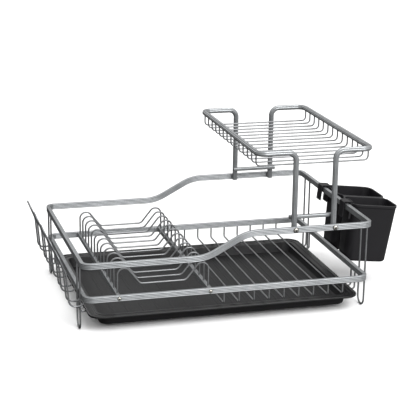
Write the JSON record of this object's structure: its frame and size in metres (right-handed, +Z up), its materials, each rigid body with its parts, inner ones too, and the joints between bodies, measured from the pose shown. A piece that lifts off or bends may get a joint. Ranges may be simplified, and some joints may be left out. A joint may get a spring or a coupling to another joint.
{
  "type": "dish drying rack",
  "caption": "Aluminium and wire dish drying rack with plate slots, an upper tier, a slide-out drip tray and a hanging cutlery holder.",
  "frame": {"origin": "on the counter, under the middle of the whole object's bounding box", "axes": "+X along the rack from the plate end to the cutlery holder, +Y to the back, +Z up"},
  "size_m": [0.6416, 0.3738, 0.2941],
  "materials": {
    "rail_aluminium": "satin, fine lengthwise ribs",
    "wire_steel": "satin grey coating",
    "screw_steel": "satin",
    "tray_plastic": "fine texture, smoother rim",
    "holder_plastic": "satin"
  },
  "bodies": {
    "rack": {"floor_wire_01": "wire_steel", "floor_wire_02": "wire_steel", "floor_wire_03": "wire_steel", "floor_wire_04": "wire_steel", "floor_wire_05": "wire_steel", "floor_wire_06": "wire_steel", "floor_wire_07": "wire_steel", "floor_wire_08": "wire_steel", "floor_wire_09": "wire_steel", "glass_prong_01": "wire_steel", "glass_prong_02": "wire_steel", "glass_prong_03": "wire_steel", "glass_prong_04": "wire_steel", "glass_prong_05": "wire_steel", "leg_back_left": "wire_steel", "leg_back_right": "wire_steel", "leg_front_left": "wire_steel", "leg_front_right": "wire_steel", "lower_rail": "rail_aluminium", "plate_bar_left": "rail_aluminium", "plate_bar_right": "rail_aluminium", "plate_bar_screws": "screw_steel", "plate_wire_01": "wire_steel", "plate_wire_02": "wire_steel", "plate_wire_03": "wire_steel", "plate_wire_04": "wire_steel", "plate_wire_05": "wire_steel", "plate_wire_06": "wire_steel", "plate_wire_07": "wire_steel", "plate_wire_08": "wire_steel", "plate_wire_09": "wire_steel", "plate_wire_10": "wire_steel", "plate_wire_11": "wire_steel", "plate_wire_12": "wire_steel", "plate_wire_13": "wire_steel", "tier_brace_back": "rail_aluminium", "tier_brace_front": "rail_aluminium", "tier_screws": "screw_steel", "tier_tube_left": "rail_aluminium", "tier_tube_right": "rail_aluminium", "tier_wire_01": "wire_steel", "tier_wire_02": "wire_steel", "tier_wire_03": "wire_steel", "tier_wire_04": "wire_steel", "tier_wire_05": "wire_steel", "tier_wire_06": "wire_steel", "tier_wire_07": "wire_steel", "tier_wire_08": "wire_steel", "tier_wire_09": "wire_steel", "tier_wire_10": "wire_steel", "tier_wire_11": "wire_steel", "tier_wire_12": "wire_steel", "tier_wire_13": "wire_steel", "tier_wire_14": "wire_steel", "tray_hooks_left": "wire_steel", "tray_hooks_right": "wire_steel", "upper_rail": "rail_aluminium"},
    "drip_tray": {"drip_tray": "tray_plastic"},
    "utensil_holder": {"utensil_holder": "holder_plastic"}
  },
  "joints": [
    {"name": "tray_slide", "type": "slide", "parent": "rack", "child": "drip_tray", "axis": [0, -1, 0], "range_m": [0, 0.28]},
    {"name": "holder_lift", "type": "slide", "parent": "rack", "child": "utensil_holder", "axis": [0.1132, 0, 0.9936], "range_m": [0, 0.06]}
  ]
}
